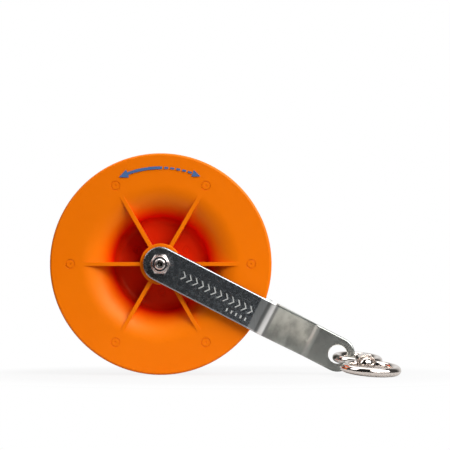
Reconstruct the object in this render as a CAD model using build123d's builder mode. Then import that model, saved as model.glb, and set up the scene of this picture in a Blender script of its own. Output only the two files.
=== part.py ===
from build123d import *
from math import asin, cos, pi, radians, sin, sqrt, tan
import os

# Cable pulling pulley: a deep-grooved moulded wheel on an M6 axle between two bent steel straps,
# with a double swivel ring threaded through the straps' joined ends.
# Millimetres. The pulley stands on its two wheel rims and on the swivel ring, as if on a table.
# +Z is up, the axle runs along Y and the nut side of the axle faces -Y.

# --- driving dimensions ----------------------------------------------------------------------
# wheel
wheel_diameter = 120.65
wheel_half_width = 18.5
shell_thickness = 2.5
bowl_arc_radius = 18.5
bowl_arc_centre_radius = 43.5
web_thickness = 2.0
web_round = 4.5
hub_radius = 11.2
hub_half_length = 19.0
hub_round = 0.4
seam_chamfer = 0.3
rib_count = 6
rib_thickness = 2.1
rib_bite = 1.0
flange_mark_radius = 49.2
flange_mark_diameter = 5.2
floor_mark_radius = 15.4
floor_mark_diameter = 4.4
floor_mark_count = 3
mark_line = 0.5
mark_depth = 0.25
peg_count = 3
peg_radius = 1.5
peg_circle_radius = 18.5
peg_height = 1.2
socket_side_gap = 0.05
socket_end_gap = 0.2

# axle stack, from the middle outwards
bush_outer_radius = 7.0
bush_bore_radius = 4.85
bush_flange_radius = 9.0
bush_flange_thickness = 1.0
bush_length = 15.0
sleeve_outer_radius = 4.8
sleeve_bore_radius = 3.1
sleeve_chamfer = 0.2
sleeve_clearance = 0.05
running_gap = 0.15
thrust_washer_thickness = 0.55
thrust_washer_radius = 8.6
bolt_radius = 2.98
thread_pitch = 1.0
thread_depth = 0.5
thread_turns = 12
nut_bore_radius = 3.0
nut_width = 10.0
nut_hex_height = 4.4
nut_height = 6.0
nut_collar_radius = 4.55
nut_insert_radius = 3.75
nut_collar_round = 0.6
nut_insert_seat = 0.4
bolt_overhang = 1.5
bolt_end_chamfer = 0.7
bolt_dimple_radius = 1.5
bolt_dimple_depth = 1.4
head_height = 4.0
hex_corner_slope = 30
plain_washer_radius = 6.0
plain_washer_thickness = 1.6
plain_washer_chamfer = 0.2

# straps
strap_thickness = 2.3
strap_half_width = 9.525
strap_hole_distance = 108.5
strap_slope_angle = 27.2
strap_bend_start = 64.8
strap_bend_end = 91.8
strap_bend_radius = 7.0
strap_edge_round = 0.9
strap_hole_chamfer = 0.25
strap_axle_hole_radius = 3.2
strap_ring_hole_radius = 5.2
strap_seam = 0.05

# swivel: an eye through the straps and a ring that turns on the eye's riveted stem
eye_radius = 11.6
eye_wire_radius = 2.2
ring_radius = 14.25
ring_wire_radius = 2.4
boss_radius = 5.75
boss_length = 6.7
boss_rim_round = 0.7
boss_blend = 1.0
boss_distance = 18.35
ring_offset = 0.1
stem_radius = 2.5
stem_clearance = 0.06
shoulder_radius = 4.0
shoulder_thickness = 1.0
shoulder_foot_radius = 2.8
shoulder_foot_rise = 1.2
swivel_washer_radius = 4.7
swivel_washer_thickness = 0.6
rivet_radius = 4.2
rivet_height = 2.5
end_gap = 0.12
swivel_yaw = 11.2
swivel_tilt = 7.2
swivel_roll = 3.0
eye_from_hole = 10.8
eye_forward = 4.0
table_gap = 0.02

# --- positions worked out from them ------------------------------------------------------------
wheel_radius = wheel_diameter / 2
throat_radius = bowl_arc_centre_radius - bowl_arc_radius + shell_thickness
bush_face = hub_half_length + bush_flange_thickness
strap_inner = bush_face + running_gap + thrust_washer_thickness
strap_outer = strap_inner + strap_thickness
nut_face = strap_outer + nut_height
head_seat = strap_outer + plain_washer_thickness
head_face = head_seat + head_height

# directions: the straps run down to the right, the swivel lies towards -Y on the table
strap_dir = Vector(cos(radians(strap_slope_angle)), 0, -sin(radians(strap_slope_angle)))
level_side = Vector(cos(radians(swivel_yaw)), sin(radians(swivel_yaw)), 0)
swivel_dir = Vector(
    sin(radians(swivel_yaw)) * cos(radians(swivel_tilt)),
    -cos(radians(swivel_yaw)) * cos(radians(swivel_tilt)),
    -sin(radians(swivel_tilt)),
)
level_normal = swivel_dir.cross(level_side)
swivel_side = level_side * cos(radians(swivel_roll)) - level_normal * sin(radians(swivel_roll))
swivel_normal = swivel_dir.cross(swivel_side)

# centres measured from the wheel's centre line, with the table at z = 0
hole_x = strap_hole_distance * cos(radians(strap_slope_angle))
eye_x = hole_x + eye_from_hole
boss_height = (
    (boss_length / 2 - boss_rim_round) * sin(radians(swivel_tilt))
    + (boss_radius - boss_rim_round) * cos(radians(swivel_tilt))
    + boss_rim_round
    + table_gap
)
eye_z = boss_height + boss_distance * sin(radians(swivel_tilt))
ring_distance = boss_distance + ring_radius + ring_offset
ring_x = eye_x + swivel_dir.X * ring_distance
ring_y = -eye_forward + swivel_dir.Y * ring_distance

# the origin is the middle of the bounding box in X and Y, at table height
x_low = -wheel_radius
x_high = ring_x + ring_radius * sqrt(1 - swivel_normal.X**2) + ring_wire_radius
y_low = ring_y - ring_radius * sqrt(1 - swivel_normal.Y**2) - ring_wire_radius
y_high = head_face
shift_x = -(x_low + x_high) / 2
shift_y = -(y_low + y_high) / 2

axle = Vector(shift_x, shift_y, wheel_radius)
eye_centre = Vector(shift_x + eye_x, shift_y - eye_forward, eye_z)
ring_centre = eye_centre + swivel_dir * ring_distance
hole_centre = axle + strap_dir * strap_hole_distance

# --- planes ------------------------------------------------------------------------------------
FRONT = -1
REAR = 1


def profile_plane(side, angle=0.0):
    """Half plane through the axle: local x is the radius, local y runs outwards from the middle."""
    radial = Vector(cos(radians(angle)), 0, sin(radians(angle)))
    outward = Vector(0, side, 0)
    return Plane(origin=axle, x_dir=radial, z_dir=radial.cross(outward))


def face_plane(side, height):
    """Plane across the axle, a given distance out from the middle, facing outwards."""
    return Plane(origin=axle + Vector(0, side * height, 0), x_dir=(1, 0, 0), z_dir=(0, side, 0))


def axle_axis(side):
    return Axis(tuple(axle), (0, side, 0))


swivel_plane = Plane(origin=eye_centre, x_dir=-swivel_side, z_dir=swivel_normal)
swivel_axis = Axis(tuple(eye_centre), tuple(swivel_dir))


def across_swivel(distance):
    """Plane across the swivel's stem, a given distance from the eye's centre."""
    return Plane(origin=eye_centre + swivel_dir * distance, x_dir=swivel_side, z_dir=swivel_dir)


# --- helpers shared by the two sides -------------------------------------------------------------
parts = []


def finish(builder, name):
    builder.part.label = name
    parts.append(builder.part)


def ring_of_points(radius, count, first):
    angles = [radians(first + 360 * k / count) for k in range(count)]
    return [(radius * cos(a), radius * sin(a)) for a in angles]


def wheel_half(side):
    """One moulded half: flange, trumpet-shaped bowl wall, web, hub and six radial ribs."""
    groove_arc = bowl_arc_radius - shell_thickness
    groove_face = wheel_half_width - shell_thickness
    rim_round = shell_thickness / 2
    mid_wall = groove_arc + shell_thickness / 2
    arc_x = bowl_arc_centre_radius
    diagonal = cos(radians(45))
    # round between the bowl's wall and the web
    round_reach = bowl_arc_radius + web_round
    round_rise = web_thickness + web_round
    round_centre = arc_x - sqrt(round_reach**2 - round_rise**2)
    round_angle = asin(round_rise / round_reach)
    # the rear face plane looks the other way, so its angles run backwards
    first_mark = 30 if side == FRONT else -30

    with BuildPart() as half:
        # solid of revolution
        with BuildSketch(profile_plane(side)):
            with BuildLine():
                seam_angle = asin(seam_chamfer / groove_arc)
                seam_foot = arc_x - groove_arc * cos(seam_angle)
                Polyline(
                    (bush_outer_radius, 0),
                    (throat_radius - seam_chamfer, 0),
                    (seam_foot, seam_chamfer),
                )
                groove_mid = (pi / 2 + seam_angle) / 2
                ThreePointArc(
                    (seam_foot, seam_chamfer),
                    (arc_x - groove_arc * cos(groove_mid), groove_arc * sin(groove_mid)),
                    (arc_x, groove_arc),
                )
                Line((arc_x, groove_face), (wheel_radius - rim_round, groove_face))
                ThreePointArc(
                    (wheel_radius - rim_round, groove_face),
                    (wheel_radius, groove_face + rim_round),
                    (wheel_radius - rim_round, wheel_half_width),
                )
                Line((wheel_radius - rim_round, wheel_half_width), (arc_x, wheel_half_width))
                wall_mid = (pi / 2 + round_angle) / 2
                wall_foot = (arc_x - bowl_arc_radius * cos(round_angle),
                             bowl_arc_radius * sin(round_angle))
                ThreePointArc(
                    (arc_x, wheel_half_width),
                    (arc_x - bowl_arc_radius * cos(wall_mid), bowl_arc_radius * sin(wall_mid)),
                    wall_foot,
                )
                ThreePointArc(
                    wall_foot,
                    (round_centre + web_round * cos(wall_mid), round_rise - web_round * sin(wall_mid)),
                    (round_centre, web_thickness),
                )
                Polyline(
                    (round_centre, web_thickness),
                    (hub_radius, web_thickness),
                    (hub_radius, hub_half_length - hub_round),
                )
                hub_arc = hub_round * (1 - diagonal)
                ThreePointArc(
                    (hub_radius, hub_half_length - hub_round),
                    (hub_radius - hub_arc, hub_half_length - hub_arc),
                    (hub_radius - hub_round, hub_half_length),
                )
                Polyline(
                    (hub_radius - hub_round, hub_half_length),
                    (bush_outer_radius, hub_half_length),
                    (bush_outer_radius, 0),
                )
            make_face()
        revolve(axis=axle_axis(side))

        # radial ribs, level with the flange and fading into it
        for k in range(rib_count):
            with BuildSketch(profile_plane(side, 360 * k / rib_count)):
                with BuildLine():
                    low = web_thickness / 2
                    rib_foot = arc_x - sqrt(mid_wall**2 - low**2)
                    Polyline(
                        (rib_foot, low),
                        (hub_radius - rib_bite, low),
                        (hub_radius - rib_bite, wheel_half_width),
                        (arc_x, wheel_half_width),
                        (arc_x, mid_wall),
                    )
                    ThreePointArc(
                        (arc_x, mid_wall),
                        (arc_x - mid_wall * diagonal, mid_wall * diagonal),
                        (rib_foot, low),
                    )
                make_face()
            extrude(amount=rib_thickness / 2, both=True)

        # witness rings on the flange in line with the ribs
        with BuildSketch(face_plane(side, wheel_half_width)):
            with Locations(*ring_of_points(flange_mark_radius, rib_count, 0)):
                Circle(flange_mark_diameter / 2)
                Circle(flange_mark_diameter / 2 - mark_line, mode=Mode.SUBTRACT)
                Circle(mark_line)
        extrude(amount=-mark_depth, mode=Mode.SUBTRACT)

        # witness rings on the web, between the ribs
        with BuildSketch(face_plane(side, web_thickness)):
            with Locations(*ring_of_points(floor_mark_radius, floor_mark_count, first_mark)):
                Circle(floor_mark_diameter / 2)
                Circle(floor_mark_diameter / 2 - mark_line, mode=Mode.SUBTRACT)
                Circle(mark_line)
        extrude(amount=-mark_depth, mode=Mode.SUBTRACT)

        # registration pegs on one half, sockets in the other
        if side == FRONT:
            with BuildSketch(face_plane(side, 0)):
                with Locations(*ring_of_points(peg_circle_radius, peg_count, first_mark)):
                    Circle(peg_radius)
            extrude(amount=-peg_height)
        else:
            with BuildSketch(face_plane(side, 0)):
                with Locations(*ring_of_points(peg_circle_radius, peg_count, first_mark)):
                    Circle(peg_radius + socket_side_gap)
            extrude(amount=peg_height + socket_end_gap, mode=Mode.SUBTRACT)
    return half


def revolved_piece(side, points):
    """A turned piece on the axle from (radius, distance out) points."""
    with BuildPart() as piece:
        with BuildSketch(profile_plane(side)):
            with BuildLine():
                Polyline(*points, close=True)
            make_face()
        revolve(axis=axle_axis(side))
    return piece


def is_rim_edge(edge):
    """True for an edge that runs along the strap's outline, not across it or through its thickness."""
    if edge.is_closed:
        return False
    middle = edge.position_at(0.5) - axle
    along = middle.dot(strap_dir)
    across = middle - strap_dir * along
    level = across - Vector(0, across.Y, 0)
    beside_leg = abs(level.length - strap_half_width) < 0.01
    around_axle = along < 0 and abs(sqrt(along**2 + level.length**2) - strap_half_width) < 0.01
    past = along - strap_hole_distance
    around_hole = past > 0 and abs(sqrt(past**2 + level.length**2) - strap_half_width) < 0.01
    return beside_leg or around_axle or around_hole


def strap(side):
    """A flat bar bent inwards beyond the wheel's rim, round at both ends, with two holes."""
    across = strap_dir.cross(Vector(0, side, 0))
    side_plane = Plane(origin=axle, x_dir=strap_dir, z_dir=across)
    out = side_plane.y_dir.dot(Vector(0, side, 0))
    leg = out * (strap_inner + strap_thickness / 2)
    tab = out * (strap_seam + strap_thickness) / 2
    start = -strap_half_width - 1
    end = strap_hole_distance + strap_half_width + 1
    with BuildPart() as bar:
        with BuildLine(side_plane) as path:
            FilletPolyline(
                (start, leg), (strap_bend_start, leg), (strap_bend_end, tab), (end, tab),
                radius=strap_bend_radius,
            )
        with BuildSketch(Plane(origin=path.line @ 0, x_dir=across, z_dir=strap_dir)):
            Rectangle(2 * strap_half_width + 2, strap_thickness)
        sweep(path=path.line)
        outline = Plane(origin=axle, x_dir=strap_dir, z_dir=(0, side, 0))
        with BuildSketch(outline):
            with Locations((strap_hole_distance / 2, 0)):
                SlotCenterToCenter(strap_hole_distance, 2 * strap_half_width)
        extrude(amount=strap_outer + 1, mode=Mode.INTERSECT)
        with BuildSketch(outline):
            Circle(strap_axle_hole_radius)
            with Locations((strap_hole_distance, 0)):
                Circle(strap_ring_hole_radius)
        extrude(amount=strap_outer + 1, mode=Mode.SUBTRACT)
        # rounded outer rim, broken hole edges
        round_holes = bar.edges().filter_by(GeomType.CIRCLE).filter_by(
            lambda e: e.is_closed
        )
        rim = bar.edges().filter_by(is_rim_edge)
        chamfer(round_holes, length=strap_hole_chamfer)
        fillet(rim, radius=strap_edge_round)
    return bar


# --- wheel ---------------------------------------------------------------------------------------
wheel_half_front = wheel_half(FRONT)
finish(wheel_half_front, "wheel_half_front")
wheel_half_rear = wheel_half(REAR)
finish(wheel_half_rear, "wheel_half_rear")


def bush(side):
    """Flanged bearing pressed into the hub from one side."""
    return revolved_piece(side, [
        (bush_bore_radius, bush_face - bush_length - bush_flange_thickness),
        (bush_outer_radius, bush_face - bush_length - bush_flange_thickness),
        (bush_outer_radius, hub_half_length),
        (bush_flange_radius, hub_half_length),
        (bush_flange_radius, bush_face),
        (bush_bore_radius, bush_face),
    ])


finish(bush(FRONT), "hub_bush_front")
finish(bush(REAR), "hub_bush_rear")

# --- axle ------------------------------------------------------------------------------------------
with BuildPart() as axle_sleeve:
    with BuildSketch(face_plane(REAR, -strap_inner)):
        Circle(sleeve_outer_radius)
        Circle(sleeve_bore_radius, mode=Mode.SUBTRACT)
    extrude(amount=2 * strap_inner)
    chamfer(axle_sleeve.edges().filter_by(GeomType.CIRCLE), length=sleeve_chamfer)
finish(axle_sleeve, "axle_sleeve")


def thrust_washer(side):
    with BuildPart() as washer:
        with BuildSketch(face_plane(side, strap_inner)):
            Circle(thrust_washer_radius)
            Circle(sleeve_outer_radius + sleeve_clearance, mode=Mode.SUBTRACT)
        extrude(amount=-thrust_washer_thickness)
    return washer


finish(thrust_washer(FRONT), "thrust_washer_front")
finish(thrust_washer(REAR), "thrust_washer_rear")

with BuildPart() as plain_washer:
    with BuildSketch(face_plane(REAR, strap_outer)):
        Circle(plain_washer_radius)
        Circle(strap_axle_hole_radius, mode=Mode.SUBTRACT)
    extrude(amount=plain_washer_thickness)
    chamfer(plain_washer.edges().group_by(Axis.Y)[-1], length=plain_washer_chamfer)
finish(plain_washer, "bolt_washer")


def hex_limit(base, top):
    """Profile of the turned cutter that takes a hexagon's corners off towards its top."""
    corner = nut_width / 2 / cos(radians(30))
    flat = nut_width / 2 * 0.96
    drop = (corner - flat) * tan(radians(hex_corner_slope))
    return [(0, base), (corner, base), (corner, top - drop), (flat, top), (0, top)]


with BuildPart() as axle_bolt:
    # hexagon head at the rear with its corners turned off
    with BuildSketch(face_plane(REAR, head_seat)):
        RegularPolygon(nut_width / 2, 6, major_radius=False)
    extrude(amount=head_height)
    with BuildSketch(profile_plane(REAR)):
        with BuildLine():
            Polyline(*hex_limit(head_seat, head_face), close=True)
        make_face()
    revolve(axis=axle_axis(REAR), mode=Mode.INTERSECT)
    # shank with ring grooves for the thread, a chamfered end and a cupped centre
    bolt_end = nut_face + bolt_overhang
    shank_start = bolt_end - bolt_end_chamfer - thread_turns * thread_pitch
    head_root = -head_seat - head_height / 4
    thread_points = []
    for turn in range(thread_turns):
        crest = bolt_end - bolt_end_chamfer - turn * thread_pitch
        thread_points.append((bolt_radius, crest))
        thread_points.append((bolt_radius - thread_depth, crest - thread_pitch / 2))
    with BuildSketch(profile_plane(FRONT)):
        with BuildLine():
            Polyline(
                (0, head_root),
                (0, bolt_end - bolt_dimple_depth),
                (bolt_dimple_radius * 0.6, bolt_end - bolt_dimple_depth * 0.8),
                (bolt_dimple_radius, bolt_end),
                (bolt_radius - bolt_end_chamfer, bolt_end),
                *thread_points,
                (bolt_radius, shank_start),
                (bolt_radius, head_root),
                close=True,
            )
        make_face()
    revolve(axis=axle_axis(FRONT))
finish(axle_bolt, "axle_bolt")

insert_seat = strap_outer + nut_hex_height - nut_insert_seat
with BuildPart() as lock_nut:
    with BuildSketch(face_plane(FRONT, strap_outer)):
        RegularPolygon(nut_width / 2, 6, major_radius=False)
    extrude(amount=nut_hex_height)
    with BuildSketch(profile_plane(FRONT)):
        with BuildLine():
            Polyline(*hex_limit(strap_outer, strap_outer + nut_hex_height), close=True)
        make_face()
    revolve(axis=axle_axis(FRONT), mode=Mode.INTERSECT)
    # round collar that holds the insert
    with BuildSketch(face_plane(FRONT, strap_outer + nut_hex_height)):
        Circle(nut_collar_radius)
    extrude(amount=nut_height - nut_hex_height)
    fillet(lock_nut.edges().group_by(Axis.Y)[0], radius=nut_collar_round)
    with BuildSketch(face_plane(FRONT, strap_outer)):
        Circle(nut_bore_radius)
    extrude(amount=nut_height, mode=Mode.SUBTRACT)
    with BuildSketch(face_plane(FRONT, insert_seat)):
        Circle(nut_insert_radius)
    extrude(amount=nut_height, mode=Mode.SUBTRACT)
finish(lock_nut, "lock_nut")

with BuildPart() as lock_nut_insert:
    with BuildSketch(face_plane(FRONT, insert_seat)):
        Circle(nut_insert_radius)
        Circle(nut_bore_radius, mode=Mode.SUBTRACT)
    extrude(amount=nut_height - nut_hex_height)
finish(lock_nut_insert, "lock_nut_insert")

# --- straps ------------------------------------------------------------------------------------------
front_strap = strap(FRONT)
finish(front_strap, "front_strap")
rear_strap = strap(REAR)
finish(rear_strap, "rear_strap")

# --- swivel ------------------------------------------------------------------------------------------
boss_near = boss_distance - boss_length / 2
boss_far = boss_distance + boss_length / 2
rivet_seat = boss_far + swivel_washer_thickness + end_gap

with BuildPart() as swivel_eye:
    # round wire loop
    with BuildSketch(Plane(origin=eye_centre + swivel_side * eye_radius,
                           x_dir=swivel_side, z_dir=swivel_dir)):
        Circle(eye_wire_radius)
    revolve(axis=Axis(tuple(eye_centre), tuple(swivel_normal)))
    # shoulder, stem and riveted head, turned about the swivel axis
    with BuildSketch(swivel_plane):
        with BuildLine():
            dome_top = rivet_seat + rivet_height
            Polyline(
                (rivet_radius, rivet_seat),
                (stem_radius, rivet_seat),
                (stem_radius, boss_near - end_gap),
                (shoulder_radius, boss_near - end_gap),
                (shoulder_radius, boss_near - end_gap - shoulder_thickness),
                (shoulder_foot_radius, eye_radius + shoulder_foot_rise),
                (eye_wire_radius * 0.9, eye_radius),
                (0, eye_radius),
                (0, dome_top),
            )
            ThreePointArc(
                (0, dome_top),
                (rivet_radius * 0.72, rivet_seat + rivet_height * 0.66),
                (rivet_radius, rivet_seat),
            )
        make_face()
    revolve(axis=swivel_axis)
finish(swivel_eye, "swivel_eye")

with BuildPart() as swivel_washer:
    with BuildSketch(across_swivel(boss_far + end_gap / 2)):
        Circle(swivel_washer_radius)
        Circle(stem_radius + stem_clearance, mode=Mode.SUBTRACT)
    extrude(amount=swivel_washer_thickness)
finish(swivel_washer, "swivel_washer")

with BuildPart() as swivel_ring:
    with BuildSketch(Plane(origin=ring_centre + swivel_side * ring_radius,
                           x_dir=swivel_side, z_dir=swivel_dir)):
        Circle(ring_wire_radius)
    revolve(axis=Axis(tuple(ring_centre), tuple(swivel_normal)))
    # boss around the stem, its ends rounded and its foot blended into the wire
    with BuildSketch(across_swivel(boss_near)):
        Circle(boss_radius)
    extrude(amount=boss_length)
    boss_rims = swivel_ring.edges().filter_by(GeomType.CIRCLE).filter_by(
        lambda e: abs(e.radius - boss_radius) < 0.01 and e.is_closed
    )
    fillet(boss_rims, radius=boss_rim_round)
    blend_edges = swivel_ring.edges().filter_by(GeomType.BSPLINE)
    fillet(blend_edges, radius=boss_blend)
    with BuildSketch(across_swivel(boss_near)):
        Circle(stem_radius + stem_clearance)
    extrude(amount=boss_length, mode=Mode.SUBTRACT)
finish(swivel_ring, "swivel_ring")

# --- export ------------------------------------------------------------------------------------------
os.makedirs("parts", exist_ok=True)
for piece in parts:
    export_step(piece, f"parts/{piece.label}.step")
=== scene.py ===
"""Looks for a cable pulling pulley: studio, camera, materials, and the printed and etched marks.

Lengths are metres in the part's own frame: +Z up, the axle along Y, the nut side facing -Y.
"""
import math

import bmesh
import bpy
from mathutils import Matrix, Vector


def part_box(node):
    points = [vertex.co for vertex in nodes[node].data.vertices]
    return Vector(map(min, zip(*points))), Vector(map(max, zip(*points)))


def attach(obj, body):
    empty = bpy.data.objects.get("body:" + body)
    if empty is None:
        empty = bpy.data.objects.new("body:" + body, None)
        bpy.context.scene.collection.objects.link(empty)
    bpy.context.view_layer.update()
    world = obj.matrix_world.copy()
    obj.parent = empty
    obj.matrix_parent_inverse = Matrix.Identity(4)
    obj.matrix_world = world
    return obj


MM = 0.001

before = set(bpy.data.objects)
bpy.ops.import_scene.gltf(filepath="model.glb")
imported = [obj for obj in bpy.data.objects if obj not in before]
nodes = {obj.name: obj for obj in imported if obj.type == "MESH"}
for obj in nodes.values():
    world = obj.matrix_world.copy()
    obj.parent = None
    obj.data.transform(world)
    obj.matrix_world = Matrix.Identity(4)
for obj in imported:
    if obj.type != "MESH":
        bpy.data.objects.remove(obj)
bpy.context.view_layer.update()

# --- places read from the frame --------------------------------------------------------------
wheel_low, wheel_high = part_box("wheel_half_front")
strap_low, strap_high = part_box("front_strap")
axle_x = (wheel_low.x + wheel_high.x) / 2
axle_z = (wheel_low.z + wheel_high.z) / 2
flange_face = wheel_low.y
strap_face = strap_low.y
mid_plane = wheel_high.y
strap_half_width = axle_x - strap_low.x
# from the axle to the straps' lower hole, in the plane of the wheel
strap_run = Vector((strap_high.x - strap_half_width - axle_x, 0,
                    strap_low.z + strap_half_width - axle_z))
strap_dir = strap_run.normalized()
strap_up = Vector((-strap_dir.z, 0, strap_dir.x))
# the circle that the groove's round section is drawn about, and the middle of the shell round it
groove_circle = 43.5 * MM
shell_middle = 17.25 * MM
table_radius = 0.17


# --- node helpers ------------------------------------------------------------------------------
class Look:
    """A material and the few node steps that every look here is made of."""

    def __init__(self, name, **values):
        self.material = bpy.data.materials.new(name)
        self.material.use_nodes = True
        self.tree = self.material.node_tree
        self.shader = self.tree.nodes["Principled BSDF"]
        self.place = self.add("ShaderNodeTexCoord").outputs["Object"]
        for socket, value in values.items():
            self.shader.inputs[socket.replace("_", " ")].default_value = value

    def add(self, kind, inputs=(), **settings):
        made = self.tree.nodes.new(kind)
        for key, value in settings.items():
            setattr(made, key, value)
        for socket, value in dict(inputs).items():
            self.set(made.inputs[socket], value)
        return made

    def set(self, socket, value):
        if isinstance(value, bpy.types.NodeSocket):
            self.tree.links.new(value, socket)
        else:
            socket.default_value = value

    def math(self, operation, *values):
        return self.add("ShaderNodeMath", enumerate(values), operation=operation).outputs[0]

    def noise(self, feature, detail=3.0, place=None, roughness=0.55):
        """Noise between 0 and 1 whose blotches are about one feature across."""
        inputs = {"Vector": place or self.place, "Scale": 1 / feature, "Detail": detail,
                  "Roughness": roughness}
        return self.add("ShaderNodeTexNoise", inputs).outputs["Fac"]

    def span(self, value, low, high, to_low, to_high, smooth=False):
        """Maps low..high to to_low..to_high and holds the ends."""
        kind = "SMOOTHSTEP" if smooth else "LINEAR"
        inputs = {"Value": value, "From Min": low, "From Max": high,
                  "To Min": to_low, "To Max": to_high}
        return self.add("ShaderNodeMapRange", inputs, interpolation_type=kind).outputs["Result"]

    def mix(self, factor, first, second):
        """Blends two colours."""
        made = self.add("ShaderNodeMix", data_type="RGBA")
        for socket, value in ((0, factor), (6, first), (7, second)):
            self.set(made.inputs[socket], value)
        return made.outputs[2]

    def steps(self, value, colour, changes):
        """Colours in turn along a value; each change is (where, half its blur, the new colour)."""
        for where, blur, after in changes:
            passed = self.span(value, where - blur, where + blur, 0, 1, smooth=True)
            colour = self.mix(passed, colour, after)
        return colour

    def stretched(self, *scale):
        """The place, squeezed along each axis by a factor, for grain that runs one way."""
        made = self.add("ShaderNodeMapping", {"Vector": self.place})
        made.inputs["Scale"].default_value = scale
        return made.outputs[0]

    def along(self, direction, origin=(0, 0, 0)):
        """Distance in metres from the origin along a direction."""
        moved = self.add("ShaderNodeVectorMath", {0: self.place, 1: origin},
                         operation="SUBTRACT").outputs[0]
        return self.add("ShaderNodeVectorMath", {0: moved, 1: tuple(direction)},
                        operation="DOT_PRODUCT").outputs["Value"]

    def from_axle(self):
        """Distance in metres from the axle's centre line."""
        out = self.add("ShaderNodeVectorMath", {0: self.place, 1: (axle_x, 0, axle_z)},
                       operation="SUBTRACT").outputs[0]
        across = self.add("ShaderNodeVectorMath", {0: out, 1: (1, 0, 1)},
                          operation="MULTIPLY").outputs[0]
        return self.add("ShaderNodeVectorMath", {0: across}, operation="LENGTH").outputs["Value"]

    def bump(self, height, depth, normal=None):
        """Raises the surface by height, which is 0 to 1, times depth in metres."""
        inputs = {"Height": height, "Distance": depth}
        if normal is not None:
            inputs["Normal"] = normal
        return self.add("ShaderNodeBump", inputs).outputs[0]

    def soft_edges(self, radius):
        """A normal that rolls round sharp edges, as moulded and stamped edges do."""
        return self.add("ShaderNodeBevel", {"Radius": radius}, samples=4).outputs[0]

    def finish(self, colour=None, roughness=None, normal=None):
        for socket, value in (("Base Color", colour), ("Roughness", roughness), ("Normal", normal)):
            if value is not None:
                self.set(self.shader.inputs[socket], value)
        return self.material


# --- materials ---------------------------------------------------------------------------------
def orange_plastic():
    """Moulded polymer: fine grain, slow flow waves, and a deeper red painted low in its bowls and
    groove as shade.
    """
    look = Look("orange_plastic", IOR=1.42, Specular_Tint=(1.0, 0.62, 0.32, 1))
    drift = look.noise(22 * MM, detail=2)
    orange = look.mix(drift, (0.88, 0.170, 0.0, 1), (0.92, 0.190, 0.0, 1))
    # distance from the plane where the halves meet: deep red painted as shade by the web and low
    # walls, orange at the flanges
    height = look.math("ABSOLUTE", look.along((0, 1, 0), (0, mid_plane, 0)))
    painted_web_shade, painted_wall_shade = (0.72, 0.024, 0.0, 1), (0.86, 0.005, 0.0, 1)
    painted_hollow_shade = look.steps(height, painted_web_shade, ((7.0 * MM, 1.5 * MM, painted_wall_shade),))
    raised = look.span(height, 6.5 * MM, 18.5 * MM, 0, 1, smooth=True)
    bowl = look.mix(raised, painted_hollow_shade, orange)
    # the groove's side of the shell lies nearer the groove's centre circle, and gets a milder red
    # painted as shade low in the groove
    beyond = look.math("SUBTRACT", look.from_axle(), groove_circle)
    depth = look.math("SQRT", look.math("ADD", look.math("MULTIPLY", beyond, beyond),
                                        look.math("MULTIPLY", height, height)))
    outside = look.math("GREATER_THAN", depth, shell_middle)
    painted_groove_shade = (0.88, 0.075, 0.0, 1)
    groove = look.mix(raised, painted_groove_shade, orange)
    colour = look.mix(outside, groove, bowl)
    grain = look.noise(0.28 * MM, detail=2)
    wave = look.noise(9 * MM, detail=1)
    scuff = look.span(look.noise(3 * MM, detail=5, roughness=0.7), 0.35, 0.75, 0.34, 0.46)
    normal = look.bump(wave, 0.05 * MM, look.soft_edges(0.25 * MM))
    normal = look.bump(grain, 0.012 * MM, normal)
    return look.finish(colour, scuff, normal)


def strap_steel():
    """Cold-rolled strip: dark mottled marking zone, a bend with a painted highlight on its crest
    and painted shade either side, pale slope, a painted highlight on the second bend, greyer tab.
    """
    look = Look("strap_steel", Metallic=1.0)
    origin = (axle_x, 0, axle_z)
    run = look.along(strap_dir, origin)
    mottle = look.noise(1.7 * MM, detail=6, roughness=0.72)
    speck = look.noise(0.4 * MM, detail=3)
    blotch = look.math("MULTIPLY_ADD", speck, 0.3, look.math("MULTIPLY", mottle, 0.8))
    dark = look.mix(blotch, (0.19, 0.218, 0.248, 1), (0.52, 0.555, 0.59, 1))
    cloud = look.span(look.noise(9 * MM, detail=4), 0.3, 0.7, 0, 1, smooth=True)
    slope = look.mix(cloud, (0.29, 0.30, 0.28, 1), (0.52, 0.54, 0.50, 1))
    tab = look.mix(mottle, (0.33, 0.34, 0.318, 1), (0.44, 0.452, 0.42, 1))
    # lines stamped across the strip just before its first bend
    lined = look.mix(look.noise(0.35 * MM, detail=1, place=look.stretched(1.0, 0.0, 0.0)),
                     (0.37, 0.387, 0.387, 1), (0.90, 0.92, 0.92, 1))
    # painted light on the bends: dark painted shade at the first bend's start and foot, a bright
    # painted highlight on its crest, and a paler painted highlight on the second bend
    painted_bend_start_shade, painted_bend_highlight = (0.34, 0.345, 0.34, 1), (0.95, 0.945, 0.92, 1)
    painted_bend_foot_shade, painted_second_bend_highlight = (0.27, 0.275, 0.27, 1), (0.58, 0.58, 0.55, 1)
    lines_start = 57.5 * MM
    colour = look.steps(run, dark, (
        (lines_start, 0.3 * MM, lined),
        (61.6 * MM, 0.5 * MM, painted_bend_start_shade),
        (63.5 * MM, 0.8 * MM, painted_bend_highlight),
        (66.3 * MM, 0.6 * MM, painted_bend_foot_shade),
        (68.0 * MM, 0.5 * MM, slope),
        (90.4 * MM, 0.6 * MM, painted_second_bend_highlight),
        (92.0 * MM, 0.6 * MM, tab)))
    zone_roughness = look.span(mottle, 0.3, 0.7, 0.22, 0.3)
    bare_roughness = look.span(mottle, 0.3, 0.7, 0.28, 0.36)
    beyond = look.span(run, lines_start - 0.5 * MM, lines_start + 0.5 * MM, 0, 1)
    roughness = look.span(beyond, 0, 1, zone_roughness, bare_roughness)
    # rolling lines run along the strip
    lines = look.noise(0.16 * MM, detail=2, place=look.stretched(1.0, 0.3, 1.0))
    normal = look.bump(mottle, 0.006 * MM, look.soft_edges(0.15 * MM))
    normal = look.bump(lines, 0.003 * MM, normal)
    return look.finish(colour, roughness, normal)


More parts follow.
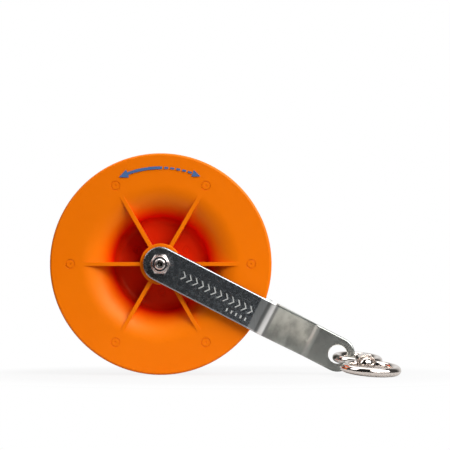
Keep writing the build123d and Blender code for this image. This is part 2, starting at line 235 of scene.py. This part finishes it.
def zinc_steel():
    """Zinc-plated fasteners with a faint warm passivation and painted shade in the cup in the
    bolt's end.
    """
    look = Look("zinc_steel", Metallic=1.0)
    cloud = look.noise(1.6 * MM, detail=4)
    plating = look.mix(cloud, (0.66, 0.60, 0.58, 1), (0.78, 0.71, 0.68, 1))
    # near black painted shade in the cup in the bolt's end, on the nut's side only
    painted_cup_shade = (0.05, 0.045, 0.04, 1)
    cup_with_painted_shade = look.steps(look.from_axle(), painted_cup_shade, ((1.35 * MM, 0.2 * MM, plating),))
    towards_nut = look.math("LESS_THAN", look.along((0, 1, 0)), strap_face)
    colour = look.mix(towards_nut, plating, cup_with_painted_shade)
    roughness = look.span(look.noise(0.7 * MM), 0.3, 0.7, 0.2, 0.34)
    normal = look.bump(look.noise(0.25 * MM), 0.006 * MM, look.soft_edges(0.12 * MM))
    return look.finish(colour, roughness, normal)


def turned_steel(name, roughness_low, roughness_high):
    """Plain turned or stamped steel that is mostly hidden inside the pulley."""
    look = Look(name, Metallic=1.0)
    cloud = look.noise(2 * MM, detail=4)
    colour = look.mix(cloud, (0.50, 0.50, 0.50, 1), (0.64, 0.64, 0.63, 1))
    roughness = look.span(look.noise(0.9 * MM), 0.3, 0.7, roughness_low, roughness_high)
    return look.finish(colour, roughness, look.bump(cloud, 0.006 * MM))


def swivel_chrome():
    """Bright nickel-chrome over a casting: near mirror, faint polishing waves and wipe marks."""
    look = Look("swivel_chrome", Metallic=1.0)
    wipe = look.noise(1.2 * MM, detail=5, roughness=0.7)
    colour = look.mix(wipe, (0.72, 0.65, 0.60, 1), (0.82, 0.75, 0.69, 1))
    roughness = look.span(wipe, 0.4, 0.75, 0.045, 0.12)
    wave = look.noise(2.4 * MM, detail=1)
    normal = look.bump(wave, 0.035 * MM, look.soft_edges(0.2 * MM))
    return look.finish(colour, roughness, normal)


def plain_polymer(name, dark, light, roughness_low, roughness_high):
    """A small moulded insert or bearing."""
    look = Look(name, IOR=1.5)
    cloud = look.noise(1.1 * MM, detail=4)
    roughness = look.span(cloud, 0.3, 0.7, roughness_low, roughness_high)
    normal = look.bump(look.noise(0.2 * MM), 0.008 * MM)
    return look.finish(look.mix(cloud, dark, light), roughness, normal)


def blue_ink():
    """Pad-printed ink, thin enough for the plastic's grain to show through."""
    look = Look("blue_ink", IOR=1.45)
    cover = look.span(look.noise(0.45 * MM, detail=4, roughness=0.7), 0.35, 0.65, 0, 1)
    colour = look.mix(cover, (0.075, 0.13, 0.26, 1), (0.035, 0.15, 0.40, 1))
    return look.finish(colour, 0.5, look.bump(look.noise(0.28 * MM), 0.01 * MM))


def etched_steel():
    """Laser-frosted steel of the strap's marks."""
    look = Look("etched_steel", Metallic=0.6)
    frost = look.noise(0.3 * MM, detail=4, roughness=0.7)
    colour = look.mix(frost, (0.42, 0.43, 0.42, 1), (0.72, 0.73, 0.71, 1))
    return look.finish(colour, look.span(frost, 0.3, 0.7, 0.55, 0.75),
                       look.bump(frost, 0.01 * MM))


def studio_white():
    """Pale grey table that the camera sees nearly white, with soft contact shadows."""
    look = Look("studio_white", Base_Color=(0.50, 0.50, 0.50, 1), Roughness=0.9,
                Specular_IOR_Level=0.0)
    reach = look.add("ShaderNodeVectorMath", {0: look.place}, operation="LENGTH").outputs["Value"]
    away = look.span(reach, 0.10, table_radius, 0.86, 1, smooth=True)
    seen = look.add("ShaderNodeLightPath").outputs["Is Camera Ray"]
    glow = look.add("ShaderNodeEmission", {"Color": (1, 1, 1, 1), "Strength": 1.0})
    blend = look.add("ShaderNodeMixShader", {0: look.math("MULTIPLY", away, seen),
                                             1: look.shader.outputs[0], 2: glow.outputs[0]})
    look.tree.links.new(blend.outputs[0], look.tree.nodes["Material Output"].inputs["Surface"])
    return look.material


LOOKS = {
    "orange_plastic": orange_plastic(),
    "strap_steel": strap_steel(),
    "zinc_steel": zinc_steel(),
    "swivel_chrome": swivel_chrome(),
    "sleeve_steel": turned_steel("sleeve_steel", 0.25, 0.4),
    "washer_steel": turned_steel("washer_steel", 0.35, 0.5),
    "insert_nylon": plain_polymer("insert_nylon", (0.012, 0.013, 0.018, 1),
                                  (0.03, 0.032, 0.04, 1), 0.4, 0.55),
    "bush": plain_polymer("bush", (0.035, 0.035, 0.04, 1), (0.07, 0.07, 0.075, 1), 0.42, 0.55),
}
NODE_LOOKS = {
    "wheel_half_front": "orange_plastic", "wheel_half_rear": "orange_plastic",
    "hub_bush_front": "bush", "hub_bush_rear": "bush",
    "axle_sleeve": "sleeve_steel",
    "thrust_washer_front": "washer_steel", "thrust_washer_rear": "washer_steel",
    "bolt_washer": "zinc_steel", "axle_bolt": "zinc_steel", "lock_nut": "zinc_steel",
    "lock_nut_insert": "insert_nylon",
    "front_strap": "strap_steel", "rear_strap": "strap_steel",
    "swivel_eye": "swivel_chrome", "swivel_washer": "swivel_chrome",
    "swivel_ring": "swivel_chrome",
}
for node_name, look_name in NODE_LOOKS.items():
    for material_slot in nodes[node_name].material_slots:
        material_slot.material = LOOKS[look_name]


# --- printed and etched marks --------------------------------------------------------------------
def plate(name, outlines, origin, right, up, thickness, material, body):
    """Thin flat shapes that stand on a surface; outlines are lists of (right, up) points."""
    out = right.cross(up)
    mesh = bmesh.new()
    for outline in outlines:
        rings = []
        for height in (0.0, thickness):
            rings.append([mesh.verts.new(origin + right * a + up * b + out * height)
                          for a, b in outline])
        count = len(outline)
        mesh.faces.new(reversed(rings[0]))
        mesh.faces.new(rings[1])
        for k in range(count):
            after = (k + 1) % count
            mesh.faces.new((rings[0][k], rings[0][after], rings[1][after], rings[1][k]))
    bmesh.ops.recalc_face_normals(mesh, faces=mesh.faces)
    data = bpy.data.meshes.new(name)
    mesh.to_mesh(data)
    mesh.free()
    data.materials.append(material)
    piece = bpy.data.objects.new(name, data)
    bpy.context.scene.collection.objects.link(piece)
    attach(piece, body)


def polar(radius, degrees):
    return radius * math.cos(math.radians(degrees)), radius * math.sin(math.radians(degrees))


def arc_band(radius, width, start, end, step=1.0):
    """A band along a circle, as one outline."""
    count = max(2, round(abs(end - start) / step))
    angles = [start + (end - start) * k / count for k in range(count + 1)]
    outer = [polar(radius + width / 2, angle) for angle in angles]
    inner = [polar(radius - width / 2, angle) for angle in reversed(angles)]
    return outer + inner


def arc_head(radius, width, start, tip):
    """An arrowhead whose point follows the circle."""
    return [polar(radius + width / 2, start), polar(radius, tip), polar(radius - width / 2, start)]


def rotation_mark():
    """Double-headed arrow round the flange: the wheel turns both ways."""
    radius, body_width, head_width = 52.4 * MM, 1.5 * MM, 4.6 * MM
    # along the circle, in degrees: point and neck of the big head, where its body turns to
    # dashes, and neck and point of the small head
    big_tip, big_neck, dashes_start, small_neck, small_tip = 115.5, 110.0, 89.0, 70.5, 65.5
    dash, gap = 2.4, 1.2
    outlines = [arc_head(radius, head_width, big_neck, big_tip),
                arc_band(radius, body_width, big_neck, dashes_start)]
    angle = dashes_start - gap
    while angle - dash > small_neck:
        outlines.append(arc_band(radius, body_width * 0.7, angle, angle - dash, step=0.6))
        angle -= dash + gap
    outlines.append(arc_head(radius, head_width * 0.8, small_neck, small_tip))
    ink_thickness = 0.03 * MM
    plate("rotation_mark", outlines, Vector((axle_x, flange_face, axle_z)), Vector((1, 0, 0)),
          Vector((0, 0, 1)), ink_thickness, blue_ink(), "wheel")


def pull_mark():
    """Row of chevrons towards the ring, and a short row of ticks under its end."""
    pitch, half, thick, reach = 3.7 * MM, 2.3 * MM, 0.75 * MM, 1.9 * MM
    first, last = 13 * MM, 54 * MM
    ticks, tick_pitch, tick_width = 5, 2.8 * MM, 0.8 * MM
    ticks_start, tick_low, tick_high = 43 * MM, -6.4 * MM, -4.6 * MM
    etch_height = 0.015 * MM
    outlines = []
    for k in range(int((last - first) / pitch) + 1):
        at = first + k * pitch
        outlines.append([(at, half), (at + thick, half), (at + thick + reach, 0),
                         (at + thick, -half), (at, -half), (at + reach, 0)])
    for k in range(ticks):
        at = ticks_start + k * tick_pitch
        outlines.append([(at, tick_low), (at + tick_width, tick_low),
                         (at + tick_width, tick_high), (at, tick_high)])
    plate("pull_mark", outlines, Vector((axle_x, strap_face, axle_z)), strap_dir, strap_up,
          etch_height, etched_steel(), "bracket")


rotation_mark()
pull_mark()


# --- studio --------------------------------------------------------------------------------------
def disc(name, radius, drop, material):
    mesh = bmesh.new()
    bmesh.ops.create_circle(mesh, cap_ends=True, segments=96, radius=radius)
    data = bpy.data.meshes.new(name)
    mesh.to_mesh(data)
    mesh.free()
    data.materials.append(material)
    piece = bpy.data.objects.new(name, data)
    piece.location.z = -drop
    bpy.context.scene.collection.objects.link(piece)
    return piece


def floor():
    """A small table that lights the object, on a wide floor that only the camera sees."""
    table_drop, floor_drop, floor_radius = 0.2 * MM, 1.2 * MM, 8.0
    white = studio_white()
    disc("studio_table", table_radius, table_drop, white)
    wide = disc("studio_floor", floor_radius, floor_drop, white)
    wide.visible_diffuse = wide.visible_glossy = wide.visible_shadow = False


def softbox(name, location, size, power):
    """A white rectangular light that faces the axle's height over the middle of the table."""
    light = bpy.data.lights.new(name, "AREA")
    light.shape = "RECTANGLE"
    light.size, light.size_y = size
    light.energy = power
    lamp = bpy.data.objects.new(name, light)
    lamp.location = location
    aim = Vector((0, 0, axle_z)) - Vector(location)
    lamp.rotation_euler = aim.to_track_quat("-Z", "Y").to_euler()
    lamp.visible_camera = False
    bpy.context.scene.collection.objects.link(lamp)


def studio_world():
    """White for the camera; for light and reflections bright behind the object, dark in front."""
    world = bpy.data.worlds.new("studio_world")
    bpy.context.scene.world = world
    world.use_nodes = True
    tree = world.node_tree
    tree.nodes.clear()

    def add(kind, inputs=(), **settings):
        made = tree.nodes.new(kind)
        for key, value in settings.items():
            setattr(made, key, value)
        for socket, value in dict(inputs).items():
            if isinstance(value, bpy.types.NodeSocket):
                tree.links.new(value, made.inputs[socket])
            else:
                made.inputs[socket].default_value = value
        return made

    # front is 1 straight out on the nut's side and -1 straight behind the object
    direction = add("ShaderNodeTexCoord").outputs["Generated"]
    front = add("ShaderNodeVectorMath", {0: direction, 1: (0.0, -1.0, 0.0)},
                operation="DOT_PRODUCT").outputs["Value"]
    side = add("ShaderNodeMapRange", {"Value": front, "From Min": -0.95, "From Max": -0.45,
                                      "To Min": 0.8, "To Max": 0.07},
               interpolation_type="SMOOTHSTEP").outputs["Result"]
    room = add("ShaderNodeMapRange", {"Value": front, "From Min": math.cos(math.radians(70)),
                                      "From Max": math.cos(math.radians(45)),
                                      "To Min": side, "To Max": 0.02},
               interpolation_type="SMOOTHSTEP").outputs["Result"]
    seen = add("ShaderNodeLightPath").outputs["Is Camera Ray"]
    strength = add("ShaderNodeMix", {0: seen, 2: room, 3: 1.0}, data_type="FLOAT").outputs[0]
    glow = add("ShaderNodeBackground", {"Color": (1, 1, 1, 1), "Strength": strength})
    output = add("ShaderNodeOutputWorld")
    tree.links.new(glow.outputs[0], output.inputs[0])


def camera():
    """Level camera a little above the axle, one degree to the right, with a small frame shift."""
    distance = 1.75
    azimuth = math.radians(1.0)
    height = 68.0 * MM
    # the level at the picture's middle, which the shift brings there
    picture_middle = 81.56 * MM
    aim_x = axle_x + 35.06 * MM
    data = bpy.data.cameras.new("camera")
    data.sensor_width = 36.0
    data.lens = 257.6
    data.shift_y = (picture_middle - height) * data.lens / (distance * data.sensor_width)
    data.clip_start, data.clip_end = 0.1, 50.0
    view = bpy.data.objects.new("camera", data)
    view.location = (aim_x + distance * math.sin(azimuth),
                     flange_face - distance * math.cos(azimuth), height)
    view.rotation_euler = (math.radians(90), 0, azimuth)
    bpy.context.scene.collection.objects.link(view)
    bpy.context.scene.camera = view


floor()
studio_world()
softbox("key_softbox", (0.80, -0.72, 0.85), (1.5, 0.9), 29)
softbox("left_softbox", (-0.92, -0.39, 0.90), (0.6, 0.9), 4)
softbox("top_softbox", (0.0, 0.30, 1.3), (1.2, 1.0), 9)
camera()
bpy.context.scene.view_settings.view_transform = "Standard"
